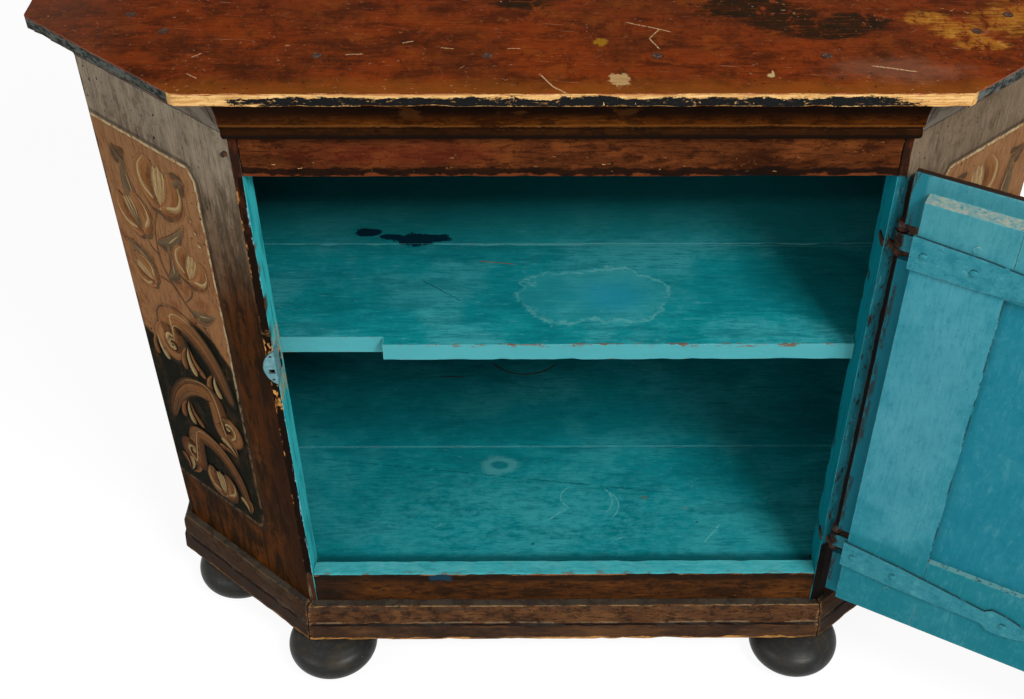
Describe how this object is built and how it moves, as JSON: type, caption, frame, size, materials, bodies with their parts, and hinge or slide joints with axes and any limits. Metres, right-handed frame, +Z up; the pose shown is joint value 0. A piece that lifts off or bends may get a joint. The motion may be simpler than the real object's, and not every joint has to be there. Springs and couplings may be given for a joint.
{
  "type": "canted-corner cupboard",
  "caption": "Low painted cupboard with canted front corners, a lipped panel door on strap hinges, a shelf inside and bun feet.",
  "frame": {"origin": "middle of the underside of the whole object's box at rest, with the door standing open; the feet stand on Z = 0", "axes": "+X along the front towards the hinge side, +Y towards the back, +Z up, out of the top"},
  "size_m": [1.432, 0.8022, 0.893],
  "materials": {
    "top_varnish": "red-brown varnish, scratched, bare along the edges",
    "frame_black_brown": "black-brown paint worn to brown",
    "canted_painted": "painted panels on brown paint, worn",
    "side_painted": "brown-grey paint, worn",
    "interior_turquoise": "turquoise paint, scuffed",
    "batten_grey": "grey paint, cracked",
    "door_teal": "teal paint, brushed and scuffed",
    "door_panel_painted": "teal paint inside, painted field outside",
    "bare_pine": "bare aged softwood",
    "foot_black": "black paint, satin",
    "forged_iron": "forged iron, rusty and part painted over"
  },
  "bodies": {
    "case": {"frieze_board": "interior_turquoise", "bottom_rail": "interior_turquoise", "top_nailing_batten": "bare_pine", "side_board_right": "side_painted", "side_board_left": "side_painted", "back_board_1": "interior_turquoise", "back_board_2": "interior_turquoise", "back_board_3": "interior_turquoise", "back_board_4": "interior_turquoise", "floor_board_front": "interior_turquoise", "floor_board_rear": "interior_turquoise", "floor_bearers": "bare_pine", "shelf_board_front": "interior_turquoise", "shelf_board_rear": "interior_turquoise", "shelf_cleat_side_right": "interior_turquoise", "shelf_cleat_side_left": "interior_turquoise", "shelf_cleat_canted_right": "interior_turquoise", "shelf_cleat_canted_left": "interior_turquoise", "cornice_front": "frame_black_brown", "cornice_batten_canted_right": "batten_grey", "cornice_batten_canted_left": "batten_grey", "cornice_batten_side_right": "batten_grey", "cornice_batten_side_left": "batten_grey", "top_nails": "forged_iron", "top_board_front": "top_varnish", "top_board_rear": "top_varnish", "foot_front_left": "foot_black", "foot_front_right": "foot_black", "foot_side_left": "foot_black", "foot_side_right": "foot_black", "foot_rear_left": "foot_black", "foot_rear_right": "foot_black", "base_front": "frame_black_brown", "base_canted_right": "frame_black_brown", "base_side_right": "frame_black_brown", "base_back": "bare_pine", "base_canted_left": "frame_black_brown", "base_side_left": "frame_black_brown", "pintle_upper": "forged_iron", "pintle_lower": "forged_iron", "lock_keeper": "forged_iron", "keeper_nails": "forged_iron", "corner_nail": "forged_iron", "canted_board_right": "canted_painted", "canted_board_left": "canted_painted"},
    "door": {"door_hinge_stile": "door_teal", "door_lock_stile": "door_teal", "door_top_rail": "door_teal", "door_bottom_rail": "door_teal", "door_panel": "door_panel_painted", "door_pegs": "door_teal", "strap_hinge_upper": "forged_iron", "strap_hinge_lower": "forged_iron", "strap_nails": "forged_iron", "lock_plate": "forged_iron", "lock_cap": "forged_iron", "lock_nails": "forged_iron", "key_escutcheon": "forged_iron", "escutcheon_nails": "forged_iron"},
    "lock_bolt": {"lock_bolt": "forged_iron"}
  },
  "joints": [
    {"name": "door_hinge", "type": "hinge", "parent": "case", "child": "door", "pos_m": [0.13836, -0.0576, 0.473], "axis": [0, 0, 1], "range_deg": [-151.5, 66]},
    {"name": "bolt_slide", "type": "slide", "parent": "door", "child": "lock_bolt", "axis": [0.8788, -0.4772, 0], "range_m": [0, 0.014]}
  ]
}
